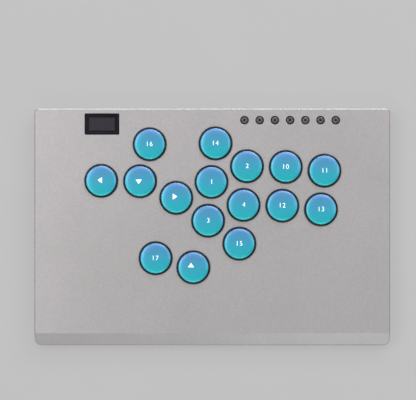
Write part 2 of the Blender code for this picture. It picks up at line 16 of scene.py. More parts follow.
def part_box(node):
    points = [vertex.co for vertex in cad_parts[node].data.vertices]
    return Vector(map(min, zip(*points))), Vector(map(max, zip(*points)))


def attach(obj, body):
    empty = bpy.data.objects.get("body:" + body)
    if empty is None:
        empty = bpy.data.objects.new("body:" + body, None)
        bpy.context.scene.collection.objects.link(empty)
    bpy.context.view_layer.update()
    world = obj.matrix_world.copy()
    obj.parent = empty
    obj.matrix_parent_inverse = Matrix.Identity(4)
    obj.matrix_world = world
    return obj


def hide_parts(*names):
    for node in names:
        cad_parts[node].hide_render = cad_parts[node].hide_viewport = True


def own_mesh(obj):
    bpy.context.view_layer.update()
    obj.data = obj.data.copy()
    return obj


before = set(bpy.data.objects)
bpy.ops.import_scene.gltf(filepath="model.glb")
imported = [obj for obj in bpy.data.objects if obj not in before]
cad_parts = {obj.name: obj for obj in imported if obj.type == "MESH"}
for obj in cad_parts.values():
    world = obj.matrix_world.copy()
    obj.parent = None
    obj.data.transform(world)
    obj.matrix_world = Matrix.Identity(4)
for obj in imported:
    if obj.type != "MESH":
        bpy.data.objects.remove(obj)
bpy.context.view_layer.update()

MM = 0.001

# %% [markdown]
# ## The camera
#
# The controller is seen from straight above. A short lens would show the sides of the keys near
# the edges of the picture. A long lens far away keeps every round key round, so we use that. The
# camera is moved sideways to place the object, and its shift stays at zero.

# %% Camera
LENS = 200
SENSOR = 36
VIEW_WIDTH = 351 * MM
CAMERA_X = -3.6 * MM
CAMERA_Y = 23 * MM
case_low, case_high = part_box("top_shell")
TOP = case_high.z

camera = bpy.data.objects.new("camera", bpy.data.cameras.new("camera"))
bpy.context.scene.collection.objects.link(camera)
camera.data.lens = LENS
camera.data.sensor_width = SENSOR
camera.location = (CAMERA_X, CAMERA_Y, TOP + VIEW_WIDTH * LENS / SENSOR)
bpy.context.scene.camera = camera
print("camera height, m:", round(camera.location.z, 3))

# %% [markdown]
# ## Studio light
#
# Satin metal shows whatever is around it. A small lamp would make one hot spot, and an even sky
# would make the metal look like paper. Two large soft boxes, high over the left and the back, make
# the metal fall slowly from light to dark. Smaller ones stand all round, so that every round key
# has a light edge on each side. Low strips at the back and the front light the back chamfer and
# the slope.

# %% Lights
NEUTRAL = (1, 1, 1)
COOL = (0.94, 0.985, 1)
SKY = 0.14
SOFT_BOXES = {  # name: place and size in metres, power in watts, colour
    "high_left": ((-1.7, 0.4, 2.2), (1.5, 1.5), 37, NEUTRAL),
    "high_back": ((0.2, 1.8, 2.2), (1.5, 1.5), 21.7, NEUTRAL),
    "high_back_left": ((-1.3, 1.2, 2.0), (0.8, 0.8), 11.6, NEUTRAL),
    "high_back_right": ((1.1, 1.5, 1.7), (0.7, 0.7), 9.9, NEUTRAL),
    "high_right": ((1.5, 0.2, 1.5), (0.6, 1.6), 11.9, NEUTRAL),
    "high_front": ((0, -1.5, 1.7), (1.6, 0.6), 15.6, NEUTRAL),
    "high_front_left": ((-1.5, -0.9, 1.9), (0.8, 0.8), 11.1, NEUTRAL),
    "back_low": ((0.5, 2.4, 0.2), (2.6, 0.3), 15, NEUTRAL),
    "back_strip": ((0.5, 1.6, 0.95), (2.0, 0.3), 24, NEUTRAL),
    "front_strip": ((0, -1.7, 0.95), (1.8, 0.4), 4.7, COOL),
    "front_right": ((0.7, -1.5, 0.5), (1.4, 0.3), 1.07, COOL),
}


def soft_box(name, place, size, power, colour):
    """A rectangular lamp that faces the middle of the scene."""
    data = bpy.data.lights.new(name, "AREA")
    data.shape = "RECTANGLE"
    data.size, data.size_y = size
    data.energy = power
    data.color = colour
    light = bpy.data.objects.new(name, data)
    light.location = place
    light.rotation_euler = (-Vector(place)).to_track_quat("-Z", "Y").to_euler()
    bpy.context.scene.collection.objects.link(light)


for name, values in SOFT_BOXES.items():
    soft_box(name, *values)

world = bpy.data.worlds.new("studio")
world.use_nodes = True
sky = world.node_tree.nodes["Background"]
sky.inputs["Color"].default_value = (*NEUTRAL, 1)
sky.inputs["Strength"].default_value = SKY
bpy.context.scene.world = world
bpy.context.scene.view_settings.view_transform = "Standard"
print("soft boxes:", len(SOFT_BOXES))

# %% [markdown]
# ## A small kit for materials
#
# Every finish here is a Principled shader with a little pattern in its colour, its roughness and
# its bump. Writing the same ten lines for each would hide what differs, so one helper makes the
# shader and a second one adds grain. Patterns read object coordinates, in metres, so their scale
# is the real one. Values that don't vary are set straight on the shader.

# %% Material helpers
NOISE_LOW = 0.35
NOISE_HIGH = 0.65


def finish(name, colour, roughness, metallic, **fixed):
    """A new material, with its node tree and its shader."""
    made = bpy.data.materials.new(name)
    made.use_nodes = True
    tree = made.node_tree
    shader = tree.nodes["Principled BSDF"]
    shader.inputs["Base Color"].default_value = (*colour, 1)
    shader.inputs["Roughness"].default_value = roughness
    shader.inputs["Metallic"].default_value = metallic
    for socket, value in fixed.items():
        shader.inputs[socket.replace("_", " ")].default_value = value
    return made, tree, shader


def noise(tree, scale, detail=3.0):
    """A noise pattern in object space. Scale is how many grains there are in a metre."""
    place = tree.nodes.new("ShaderNodeTexCoord")
    pattern = tree.nodes.new("ShaderNodeTexNoise")
    pattern.inputs["Scale"].default_value = scale
    pattern.inputs["Detail"].default_value = detail
    tree.links.new(place.outputs["Object"], pattern.inputs["Vector"])
    return pattern.outputs["Fac"]


def spread(tree, value, low, high):
    """A pattern's middle range, stretched to run from low to high."""
    ranged = tree.nodes.new("ShaderNodeMapRange")
    ends = {"From Min": NOISE_LOW, "From Max": NOISE_HIGH, "To Min": low, "To Max": high}
    for name, amount in ends.items():
        ranged.inputs[name].default_value = amount
    tree.links.new(value, ranged.inputs["Value"])
    return ranged.outputs["Result"]


def two_tone(tree, value, first, second):
    """A colour between two, where value runs from 0 to 1."""
    mixed = tree.nodes.new("ShaderNodeMix")
    mixed.data_type = "RGBA"
    mixed.inputs["A"].default_value = (*first, 1)
    mixed.inputs["B"].default_value = (*second, 1)
    tree.links.new(value, mixed.inputs["Factor"])
    return mixed.outputs["Result"]


def multiplied(tree, first, second):
    """One colour times another."""
    mixed = tree.nodes.new("ShaderNodeMix")
    mixed.data_type = "RGBA"
    mixed.blend_type = "MULTIPLY"
    mixed.inputs["Factor"].default_value = 1
    tree.links.new(first, mixed.inputs["A"])
    tree.links.new(second, mixed.inputs["B"])
    return mixed.outputs["Result"]


def add_bump(tree, shader, value, depth):
    """Let a pattern dent the surface, down to a depth in metres."""
    bump = tree.nodes.new("ShaderNodeBump")
    bump.inputs["Distance"].default_value = depth
    bump.inputs["Strength"].default_value = 1
    tree.links.new(value, bump.inputs["Height"])
    tree.links.new(bump.outputs["Normal"], shader.inputs["Normal"])


BROADER = 30
COLOUR_LIFT = 4
LEAST_LIFT = 0.002


def moulded(name, colour, roughness, grain=1500, depth=0.01 * MM, shift=0.06, metallic=0.0, **fixed):
    """A plain finish with fine grain. Its roughness and surface vary with the grain, and its colour
    varies slowly over a much broader pattern."""
    made, tree, shader = finish(name, colour, roughness, metallic, **fixed)
    fine = noise(tree, grain)
    broad = noise(tree, grain / BROADER)
    lighter = [min(c * (1 + COLOUR_LIFT * shift) + LEAST_LIFT, 1) for c in colour]
    tone = two_tone(tree, spread(tree, broad, 0, 1), colour, lighter)
    tree.links.new(tone, shader.inputs["Base Color"])
    tree.links.new(spread(tree, fine, roughness - shift, roughness + shift), shader.inputs["Roughness"])
    add_bump(tree, shader, fine, depth)
    return made


# %% [markdown]
# ## Finishes
#
# The case is bead-blasted aluminium: tiny dents that scatter light, with a slow change over the
# whole panel. Anisotropic brushing would put streaks on it that the real metal lacks, so the
# dents are a fine noise bump. A thin clear seal gives the surface a little matt colour of its own,
# which is what lets a key cast a soft shadow on it. The plastics and the board use the same helper
# with other values.

# %% Case, plastic and board finishes
satin, tree, shader = finish("blasted_aluminium", (0.6, 0.574, 0.579), 0.34, 0.88)
blast = noise(tree, 2400, 2)
cloud = noise(tree, 14, 2)
mottle = noise(tree, 850, 3)
tone = two_tone(tree, spread(tree, cloud, 0, 1), (0.592, 0.566, 0.571), (0.62, 0.592, 0.598))
grain = two_tone(tree, spread(tree, mottle, 0, 1), (0.94, 0.94, 0.94), (1.045, 1.045, 1.045))
tree.links.new(multiplied(tree, tone, grain), shader.inputs["Base Color"])
tree.links.new(spread(tree, blast, 0.31, 0.38), shader.inputs["Roughness"])
add_bump(tree, shader, blast, 0.006 * MM)

# The milled chamfer's metal. Its colour is darker than the blasted top's, as painted shade for the thin
# dark line along the case's edge.
milled_edge_painted_shade = moulded("milled_aluminium_edge_painted_shade", (0.46, 0.447, 0.447), 0.27, 1800, 0.002 * MM, 0.03,
                      metallic=1.0)
black_gloss = moulded("black_collar_plastic", (0.011, 0.01, 0.01), 0.28, shift=0.03,
                      Specular_IOR_Level=0.35)
black_matt = moulded("black_guide_plastic", (0.007, 0.007, 0.007), 0.45, shift=0.03,
                     Specular_IOR_Level=0.2)
dark_metal = moulded("dark_button_metal", (0.16, 0.16, 0.16), 0.3, 2200, metallic=0.85)
black_anodised = moulded("black_anodised", (0.045, 0.045, 0.05), 0.5, 2400, metallic=0.8)
window_black = moulded("window_black", (0.004, 0.004, 0.005), 0.3, 600, 0.001 * MM, 0.03,
                       Specular_IOR_Level=0.17)
screen_violet = moulded("unlit_screen", (0.018, 0.0155, 0.022), 0.3, 900, 0.001 * MM, 0.03,
                        Specular_IOR_Level=0.3)
rubber = moulded("grip_rubber", (0.018, 0.018, 0.018), 0.85, 1200, 0.05 * MM)
plated_steel = moulded("plated_steel", (0.5, 0.5, 0.5), 0.3, 900, metallic=1.0)
screw_steel = moulded("black_screw_steel", (0.06, 0.06, 0.062), 0.35, 1500, metallic=0.9)
housing = moulded("switch_housing_plastic", (0.022, 0.022, 0.024), 0.45)
board_green = moulded("solder_mask", (0.01, 0.06, 0.032), 0.35, 700, 0.02 * MM)
gold = moulded("gold_contact", (0.8, 0.55, 0.2), 0.25, 1800, metallic=1.0)
white_ink = moulded("white_legend_ink", (0.86, 0.88, 0.88), 0.45, 2600, 0.004 * MM, 0.03)
print("materials:", len(bpy.data.materials))

# %% [markdown]
# ## The keys' colour
#
# Each cap is blue at the back and blue-green at the front, with fine speckles as in a pearl
# lacquer. The colour must run the same way on every cap, wherever it stands. Object coordinates
# run over the whole panel, so they can't do that. A UV map that goes from 0 to 1 across one cap
# can, and the material reads it.

# %% Cap finish
cap_finish, tree, shader = finish("blue_green_lacquer", (0.06, 0.4, 0.56), 0.38, 0.3,
                                  Coat_Weight=0.14, Coat_Roughness=0.28)
uv = tree.nodes.new("ShaderNodeUVMap")
uv.uv_map = "across"
axes = tree.nodes.new("ShaderNodeSeparateXYZ")
tree.links.new(uv.outputs["UV"], axes.inputs["Vector"])
ramp = tree.nodes.new("ShaderNodeValToRGB")
ramp.color_ramp.elements[0].color = (0.001, 0.358, 0.388, 1)
ramp.color_ramp.elements[1].color = (0.069, 0.175, 0.386, 1)
middle = ramp.color_ramp.elements.new(0.5)
middle.color = (0.026, 0.285, 0.408, 1)
tree.links.new(axes.outputs["Y"], ramp.inputs["Fac"])
speckle = noise(tree, 3200, 2)
shade = two_tone(tree, spread(tree, speckle, 0, 1), (0.86, 0.86, 0.86), (1, 1, 1))
tree.links.new(multiplied(tree, ramp.outputs["Color"], shade), shader.inputs["Base Color"])
tree.links.new(spread(tree, speckle, 0.34, 0.42), shader.inputs["Roughness"])
add_bump(tree, shader, speckle, 0.004 * MM)

# %% [markdown]
# ## Turned shapes with Geometry Nodes
#
# Keys, collars, small buttons and screws are all round. One profile, spun about an axis, makes the
# shape. Placing each copy by hand would be slow to change, so a Geometry Nodes tree sets one shape
# on every point of a list of places. Change one profile and all sixteen change.

# %% Profile and mesh helpers
CREASE = math.radians(40)


def to_scene(name, mesh, material=None):
    """An object at the origin with one material, or none."""
    made = bpy.data.objects.new(name, mesh)
    bpy.context.scene.collection.objects.link(made)
    if material:
        mesh.materials.clear()
        mesh.materials.append(material)
    return made


def evaluated_mesh(piece):
    """A plain mesh of a piece as it stands, with its modifiers or its text worked out."""
    bpy.context.view_layer.update()
    graph = bpy.context.evaluated_depsgraph_get()
    return bpy.data.meshes.new_from_object(piece.evaluated_get(graph))


def bake(piece):
    """Turn a piece's modifiers into plain mesh."""
    result = evaluated_mesh(piece)
    piece.modifiers.clear()
    piece.data = result


def rounded_profile(corners, steps=5):
    """A path of (radius, height) corners in millimetres. A corner with a third number is an arc
    of that radius."""
    path = []
    for number, corner in enumerate(corners):
        here = Vector(corner[:2])
        if len(corner) < 3:
            path.append(here)
            continue
        before = (Vector(corners[number - 1][:2]) - here).normalized()
        after = (Vector(corners[number + 1][:2]) - here).normalized()
        half = before.angle(after) / 2
        reach = corner[2] / math.tan(half)
        centre = here + (before + after).normalized() * (corner[2] / math.sin(half))
        first = here + before * reach - centre
        last = here + after * reach - centre
        turn = first.angle_signed(last)
        for step in range(steps + 1):
            angle = -turn * step / steps
            path.append(centre + Matrix.Rotation(angle, 2) @ first)
    return path


def turned_mesh(name, profile, steps=64):
    """A solid of revolution about Z from a profile in millimetres."""
    shape = bmesh.new()
    corners = [shape.verts.new((p.x * MM, 0, p.y * MM)) for p in profile]
    edges = [shape.edges.new(pair) for pair in zip(corners, corners[1:])]
    bmesh.ops.spin(shape, geom=corners + edges, cent=(0, 0, 0), axis=(0, 0, 1), steps=steps,
                   angle=math.tau, use_merge=True)
    bmesh.ops.remove_doubles(shape, verts=shape.verts, dist=1e-7)
    bmesh.ops.recalc_face_normals(shape, faces=shape.faces)
    mesh = bpy.data.meshes.new(name)
    shape.to_mesh(mesh)
    shape.free()
    mesh.shade_smooth()
    mesh.set_sharp_from_angle(angle=CREASE)
    return mesh


def repeat_tree():
    """Set a shape on every point: inputs for the shape and its material."""
    group = bpy.data.node_groups.new("repeat_on_points", "GeometryNodeTree")
    face = group.interface
    face.new_socket("Geometry", in_out="INPUT", socket_type="NodeSocketGeometry")
    face.new_socket("Shape", in_out="INPUT", socket_type="NodeSocketObject")
    face.new_socket("Material", in_out="INPUT", socket_type="NodeSocketMaterial")
    face.new_socket("Geometry", in_out="OUTPUT", socket_type="NodeSocketGeometry")
    nodes = group.nodes
    start = nodes.new("NodeGroupInput")
    info = nodes.new("GeometryNodeObjectInfo")
    points = nodes.new("GeometryNodeMeshToPoints")
    copies = nodes.new("GeometryNodeInstanceOnPoints")
    real = nodes.new("GeometryNodeRealizeInstances")
    paint = nodes.new("GeometryNodeSetMaterial")
    end = nodes.new("NodeGroupOutput")
    links = group.links
    links.new(start.outputs["Shape"], info.inputs["Object"])
    links.new(start.outputs["Geometry"], points.inputs["Mesh"])
    links.new(points.outputs["Points"], copies.inputs["Points"])
    links.new(info.outputs["Geometry"], copies.inputs["Instance"])
    links.new(copies.outputs["Instances"], real.inputs["Geometry"])
    links.new(real.outputs["Geometry"], paint.inputs["Geometry"])
    links.new(start.outputs["Material"], paint.inputs["Material"])
    links.new(paint.outputs["Geometry"], end.inputs["Geometry"])
    return group


REPEAT = repeat_tree()


def input_names(group):
    """The identifier of each input, by name. A modifier's inputs are set by identifier."""
    return {item.name: item.identifier for item in group.interface.items_tree if item.in_out == "INPUT"}


def repeated(name, mesh, places, material=None):
    """One mesh with a copy of a shape at each place."""
    shape = bpy.data.objects.new(name + "_shape", mesh)
    bpy.context.scene.collection.objects.link(shape)
    cloud_mesh = bpy.data.meshes.new(name + "_places")
    cloud_mesh.from_pydata([tuple(place) for place in places], [], [])
    carrier = bpy.data.objects.new(name, cloud_mesh)
    bpy.context.scene.collection.objects.link(carrier)
    modifier = carrier.modifiers.new("repeat", "NODES")
    modifier.node_group = REPEAT
    named = input_names(REPEAT)
    modifier[named["Shape"]] = shape
    modifier[named["Material"]] = material
    bake(carrier)
    bpy.data.objects.remove(shape)
    print(name, "copies:", len(places), "faces:", len(carrier.data.polygons))
    return carrier


def middle_of(node):
    """The middle of a mechanical piece's box."""
    low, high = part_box(node)
    return (low + high) / 2


def footprints(places):
    """Places at height zero, for shapes whose profile already holds their height."""
    return [(place.x, place.y, 0) for place in places]


# %% [markdown]
# ## The case
#
# The aluminium top is the largest surface. The mechanical model's version has holes with few
# sides and one flat strip along each edge. Its edges catch the light, so they are made with more
# care here. We draw the same outline, cut the front down to its slope and chamfer the outer edges
# first, with the one flat cut that a milling tool leaves. That cut is made after blasting, so it is
# bare metal: dark where it mirrors the room, light where it mirrors a lamp. Its colour is also set
# darker than the blasted metal's, as painted shade that darkens the thin line along the edge.
#
# Then Boolean tools hollow it and cut the holes, whose rims get a much smaller radius. Large flat
# faces beside small round ones look blotchy when their normals are averaged, so a Weighted Normal
# modifier lets the large faces win.

# %% Key places
KEYS = sorted(node[len("key_cap_"):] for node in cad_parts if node.startswith("key_cap_"))
key_places = {key: middle_of("key_cap_" + key) for key in KEYS}
FUNCTIONS = sorted(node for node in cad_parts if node.startswith("function_cap_"))
function_places = [middle_of(node) for node in FUNCTIONS]
print("keys:", len(KEYS), "small buttons:", len(FUNCTIONS))

# %% Outline helper
def outline(width, depth, radii, centre=(0, 0), steps=8):
    """Points round a rectangle with round corners: back right, back left, front left, front right."""
    points = []
    for corner, radius in enumerate(radii):
        side_x = 1 if corner in (0, 3) else -1
        side_y = 1 if corner in (0, 1) else -1
        for step in range(steps + 1):
            angle = math.radians(90 * (corner + step / steps))
            points.append((
                centre[0] + side_x * (width / 2 - radius) + radius * math.cos(angle),
                centre[1] + side_y * (depth / 2 - radius) + radius * math.sin(angle),
            ))
    return points


def prism(name, points, bottom, top):
    """A flat outline raised into a solid."""
    shape = bmesh.new()
    face = shape.faces.new([shape.verts.new((x, y, bottom)) for x, y in points])
    raised = bmesh.ops.extrude_face_region(shape, geom=[face])["geom"]
    moved = [item for item in raised if isinstance(item, bmesh.types.BMVert)]
    bmesh.ops.translate(shape, verts=moved, vec=(0, 0, top - bottom))
    bmesh.ops.recalc_face_normals(shape, faces=shape.faces)
    mesh = bpy.data.meshes.new(name)
    shape.to_mesh(mesh)
    shape.free()
    return mesh


def solid(name, points, bottom, top, material=None):
    """A prism as an object in the scene."""
    return to_scene(name, prism(name, points, bottom, top), material)


def cut(piece, tools, operation="DIFFERENCE"):
    """Use Boolean tools on a piece, and keep only the result."""
    for tool in tools:
        modifier = piece.modifiers.new("cut", "BOOLEAN")
        modifier.operation = operation
        modifier.object = tool
        modifier.solver = "EXACT"
    bake(piece)
    for tool in tools:
        bpy.data.objects.remove(tool)


def eased(piece, width, segments=2, angle=28, slot=-1):
    """Round the edges that turn by more than an angle in degrees, and keep flat faces looking flat.
    The new faces can take a material slot of their own."""
    piece.data.shade_smooth()
    edge = piece.modifiers.new("edge", "BEVEL")
    edge.width = width
    edge.segments = segments
    edge.limit_method = "ANGLE"
    edge.angle_limit = math.radians(angle)
    edge.material = slot
    flat = piece.modifiers.new("flat_faces", "WEIGHTED_NORMAL")
    flat.weight = 100
    flat.keep_sharp = True
    bake(piece)


# %% Case shell
WALL = 3 * MM
ROOF = 2.5 * MM
SLOPE_RUN = 10.5 * MM
SLOPE_DROP = 8 * MM
CORNERS = [3.5 * MM, 3.5 * MM, 5.5 * MM, 5.5 * MM]
LEAST_CORNER = 1 * MM
COLLAR_HOLE = 14.4 * MM
GUIDE_HOLE = 3.7 * MM
SCREW_HOLE = 1.55 * MM
CASE_POST = 3.5 * MM
BOARD_POST = 3 * MM
POST_GAP = 0.3 * MM
OUTER_EDGE = 0.6 * MM
CHAMFER_CREASE = math.radians(30)
RIM_EDGE = 0.12 * MM
case_size = case_high - case_low


def sloped(mesh, inset):
    """Cut the front edge of a block down to the slope, moved in by the roof's thickness."""
    shape = bmesh.new()
    shape.from_mesh(mesh)
    normal = Vector((0, -SLOPE_DROP, SLOPE_RUN)).normalized()
    crease = Vector((0, case_low.y + SLOPE_RUN, TOP)) - normal * inset
    made = bmesh.ops.bisect_plane(shape, geom=shape.verts[:] + shape.edges[:] + shape.faces[:],
                                  plane_co=crease, plane_no=normal, clear_outer=True)
    rim = [item for item in made["geom_cut"] if isinstance(item, bmesh.types.BMEdge)]
    bmesh.ops.edgeloop_fill(shape, edges=rim)
    bmesh.ops.recalc_face_normals(shape, faces=shape.faces)
    shape.to_mesh(mesh)
    shape.free()
    return mesh


def cylinders(name, places, radius, bottom, top, segments=72):
    """One object with an upright cylinder at each place."""
    shape = bmesh.new()
    for place in places:
        middle = Matrix.Translation((place.x, place.y, (bottom + top) / 2))
        bmesh.ops.create_cone(shape, cap_ends=True, segments=segments, radius1=radius,
                              radius2=radius, depth=top - bottom, matrix=middle)
    mesh = bpy.data.meshes.new(name)
    shape.to_mesh(mesh)
    shape.free()
    return to_scene(name, mesh)


block = prism("case_block", outline(case_size.x, case_size.y, CORNERS), case_low.z, TOP)
shell = to_scene("case_shell", sloped(block, 0), satin)
# The chamfer faces take the milled metal, whose darker colour is painted shade.
shell.data.materials.append(milled_edge_painted_shade)
eased(shell, OUTER_EDGE, segments=1, angle=45, slot=1)
shell.data.set_sharp_from_angle(angle=CHAMFER_CREASE)
inner_corners = [max(radius - WALL, LEAST_CORNER) for radius in CORNERS]
hollow_points = outline(case_size.x - 2 * WALL, case_size.y - 2 * WALL, inner_corners)
hollow_mesh = prism("case_hollow", hollow_points, case_low.z - 2 * MM, TOP - ROOF)
hollow = to_scene("case_hollow", sloped(hollow_mesh, ROOF))
cut(shell, [hollow])

# %% Screw posts
CASE_SCREWS = sorted(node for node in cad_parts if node.startswith("case_screw_"))
BOARD_SCREWS = sorted(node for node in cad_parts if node.startswith("board_screw_"))
case_screw_places = [middle_of(node) for node in CASE_SCREWS]
board_screw_places = [middle_of(node) for node in BOARD_SCREWS]
post_top = TOP - ROOF / 2
base_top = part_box("base_plate")[1].z
plate_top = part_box("switch_plate")[1].z
cut(shell, [
    cylinders("case_posts", case_screw_places, CASE_POST, base_top + POST_GAP, post_top, segments=36),
    cylinders("board_posts", board_screw_places, BOARD_POST, plate_top + POST_GAP, post_top, segments=36),
], "UNION")
print("posts:", len(case_screw_places) + len(board_screw_places))

# %% Openings
WINDOW = Vector((29 * MM, 17.7 * MM))
WINDOW_PLACE = Vector((middle_of("display_window").x, 87.1 * MM))
WINDOW_CORNER = 0.9 * MM
WINDOW_GAP = 0.2 * MM
PORT_SLOT = (9.54 * MM, 3.76 * MM)
PORT_SLOT_DEPTH = 5 * MM
PORT_POCKET = (13 * MM, 7.4 * MM)
PORT_POCKET_DEPTH = 1.5 * MM
ROUND_END = 0.499  # a corner's radius as a share of the height: just short of a half circle
window_hole = outline(WINDOW.x + 2 * WINDOW_GAP, WINDOW.y + 2 * WINDOW_GAP,
                      [WINDOW_CORNER + WINDOW_GAP] * 4, WINDOW_PLACE)
port_low, port_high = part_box("usb_socket")
port_middle = (port_low + port_high) / 2


def slot_mesh(name, width, height, front, back, steps=8):
    """A slot with round ends that runs along Y, centred on the data socket."""
    mesh = prism(name, outline(width, height, [height * ROUND_END] * 4, steps=steps), front, back)
    turn = Matrix.Rotation(math.radians(-90), 4, "X")
    mesh.transform(Matrix.Translation((port_middle.x, 0, port_middle.z)) @ turn)
    return mesh


under_roof = TOP - ROOF - MM
over_roof = TOP + MM
cut(shell, [
    cylinders("key_holes", key_places.values(), COLLAR_HOLE, under_roof, over_roof),
    cylinders("small_holes", function_places, GUIDE_HOLE, under_roof, over_roof, segments=40),
    cylinders("screw_holes", case_screw_places + board_screw_places, SCREW_HOLE, 0, TOP - ROOF,
              segments=24),
    solid("window_hole", window_hole, under_roof, over_roof),
    to_scene("port_slot", slot_mesh("port_slot", *PORT_SLOT, case_high.y - PORT_SLOT_DEPTH,
                                    case_high.y + MM)),
    to_scene("port_pocket", slot_mesh("port_pocket", *PORT_POCKET, case_high.y - PORT_POCKET_DEPTH,
                                      case_high.y + MM)),
])
eased(shell, RIM_EDGE, angle=60)
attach(shell, "case")
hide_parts("top_shell")
print("case faces:", len(shell.data.polygons))

# %% [markdown]
# ## The collars and guides
#
# A black collar stands a little proud of the metal round each key, and a small one round each
# button. The collars share one thin web under the metal, and the guides share another. A torus
# would look soft and toy-like; a real collar has a flat top with small rounded edges, so the
# profile has arcs only at its corners. Geometry Nodes set it on every place.

# %% Collars and guides
# In millimetres, as profiles are. Arcs are of the outer and the inner top edge.
WEB_TOP = 13.2
WEB_THICKNESS = 1.0
COLLAR_TOP = 17.2
COLLAR_BORE = 13.05
COLLAR_RADIUS = 14.25
COLLAR_ARCS = (0.45, 0.3)
GUIDE_TOP = 16.0
GUIDE_BORE = 2.8
GUIDE_RADIUS = 3.5
GUIDE_ARCS = (0.15, 0.25)


def tube_profile(bore, radius, top, outer_arc, inner_arc):
    """A tube that stands on the web, in millimetres, with a rounded top."""
    return rounded_profile([
        (radius, WEB_TOP), (radius, top, outer_arc), (bore, top, inner_arc), (bore, WEB_TOP),
        (radius, WEB_TOP),
    ])


collar_profile = tube_profile(COLLAR_BORE, COLLAR_RADIUS, COLLAR_TOP, *COLLAR_ARCS)
collar_mesh = turned_mesh("collar", collar_profile)
collars = repeated("key_collars", collar_mesh, footprints(key_places.values()), black_gloss)
guide_profile = tube_profile(GUIDE_BORE, GUIDE_RADIUS, GUIDE_TOP, *GUIDE_ARCS)
guide_mesh = turned_mesh("guide", guide_profile, steps=40)
guides = repeated("button_guides", guide_mesh, footprints(function_places), black_matt)

# %% Webs
DISPLAY_NOTCH = (-74 * MM, 62.5 * MM)
WEB_EDGE = 0.1 * MM
web_low, web_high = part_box("collar_frame")
web_points = [
    (web_high.x, web_high.y), (DISPLAY_NOTCH[0], web_high.y), DISPLAY_NOTCH,
    (web_low.x, DISPLAY_NOTCH[1]), (web_low.x, web_low.y), (web_high.x, web_low.y),
]
strip_low, strip_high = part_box("guide_strip")
strip_size = strip_high - strip_low
strip_middle = (strip_high + strip_low) / 2
strip_points = outline(strip_size.x, strip_size.y, [LEAST_CORNER] * 4, strip_middle, steps=3)
webs = {  # name: outline, places, bore, the node it stands for
    "collar_web": (web_points, key_places.values(), COLLAR_BORE, "collar_frame"),
    "guide_web": (strip_points, function_places, GUIDE_BORE, "guide_strip"),
}
for name, (points, places, bore, node) in webs.items():
    bottom, top = (WEB_TOP - WEB_THICKNESS) * MM, WEB_TOP * MM
    web = solid(name, points, bottom, top, black_gloss)
    cut(web, [cylinders(name + "_bores", places, bore * MM, bottom - MM, top + MM)])
    eased(web, WEB_EDGE, angle=60)
    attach(web, "case")
    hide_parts(node)
for piece in (collars, guides):
    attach(piece, "case")

# %% [markdown]
# ## The key caps
#
# A cap is flat in the middle and falls away faster and faster towards its edge. A flat disc with a
# plain round arc at the edge would draw one hard thin line of light. A superellipse bends little
# by little, so the light spreads over it. Each cap moves by itself, so each is its own object.

# %% Caps
# In millimetres, as profiles are.
CAP = 12.7
CAP_TOP = 19.95
FALL = 1.4
FALL_POWER = 4.4
CAP_STEPS = 24
CAP_FOOT = 14.6
CAP_BORE = 11.4
CAP_CEILING = 18.2
FOOT_EDGE = 0.2
SLIDER = 3
SLIDER_FOOT = 12
SLIDER_EDGE = 0.3


def cap_height(radius):
    """How high the cap is at a distance from its middle, in millimetres."""
    return CAP_TOP - FALL * (1 - math.sqrt(max(1 - (radius / CAP) ** FALL_POWER, 0)))


def cap_profile():
    """The cap from its middle, over the edge and up inside to the slider."""
    over = []
    for step in range(CAP_STEPS + 1):
        radius = CAP * math.sin(math.radians(90 * step / CAP_STEPS))
        over.append((radius, cap_height(radius)))
    under = [
        (CAP, CAP_FOOT + FOOT_EDGE), (CAP - FOOT_EDGE, CAP_FOOT), (CAP_BORE, CAP_FOOT),
        (CAP_BORE, CAP_CEILING), (SLIDER, CAP_CEILING), (SLIDER, SLIDER_FOOT + SLIDER_EDGE),
        (SLIDER - SLIDER_EDGE, SLIDER_FOOT), (0, SLIDER_FOOT),
    ]
    return [Vector(point) for point in over + under]


cap_mesh = turned_mesh("cap", cap_profile(), steps=72)
for key, place in key_places.items():
    mesh = cap_mesh.copy()
    layer = mesh.uv_layers.new(name="across")
    for loop in mesh.loops:
        point = mesh.vertices[loop.vertex_index].co
        layer.data[loop.index].uv = (0.5 + point.x / (2 * CAP * MM), 0.5 + point.y / (2 * CAP * MM))
    mesh.transform(Matrix.Translation((place.x, place.y, 0)))
    cap = to_scene("cap_" + key, mesh, cap_finish)
    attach(cap, "key_" + key)
    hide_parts("key_cap_" + key)
print("caps:", len(key_places), "faces each:", len(cap_mesh.polygons))

# %% [markdown]
# ## Legends
#
# Four keys carry arrows. The others carry plain numerals. Text becomes a mesh before it is
# placed, because a text object can't keep its place in its own points. The ink is a thin solid
# that lies just on the cap. All of them are printed a little off centre: the arrows each by their
# own amount, the numerals by the same.

# %% Legends
INK = 0.04 * MM
ARROWS = {  # key: bearing in degrees, shift in millimetres
    "left": (180, (-1, 0.5)),
    "right": (0, (-1, 1)),
    "up": (90, (-2, 2)),
    "down": (270, (-1, -0.5)),
}
NUMBER_SHIFT = (0.2, 0.3)
NUMBERS = {"top_1": 1, "top_2": 2, "bottom_1": 3, "bottom_2": 4, "top_3": 10, "top_4": 11,
           "bottom_3": 12, "bottom_4": 13, "above": 14, "below": 15, "upper_thumb": 16,
           "lower_thumb": 17}
LETTER_HEIGHT = 5.6 * MM
LETTER_THINNING = 0.05 * MM
LETTER_SPACING = 1.15
ARROW_LENGTH = 3.7 * MM
ARROW_WIDTH = 5.1 * MM


def arrow_mesh(bearing):
    """A flat arrowhead that points along a bearing in degrees."""
    back = -ARROW_LENGTH / 2
    points = [(ARROW_LENGTH / 2, 0), (back, ARROW_WIDTH / 2), (back, -ARROW_WIDTH / 2)]
    mesh = prism("arrow", points, 0, INK)
    mesh.transform(Matrix.Rotation(math.radians(bearing), 4, "Z"))
    return mesh


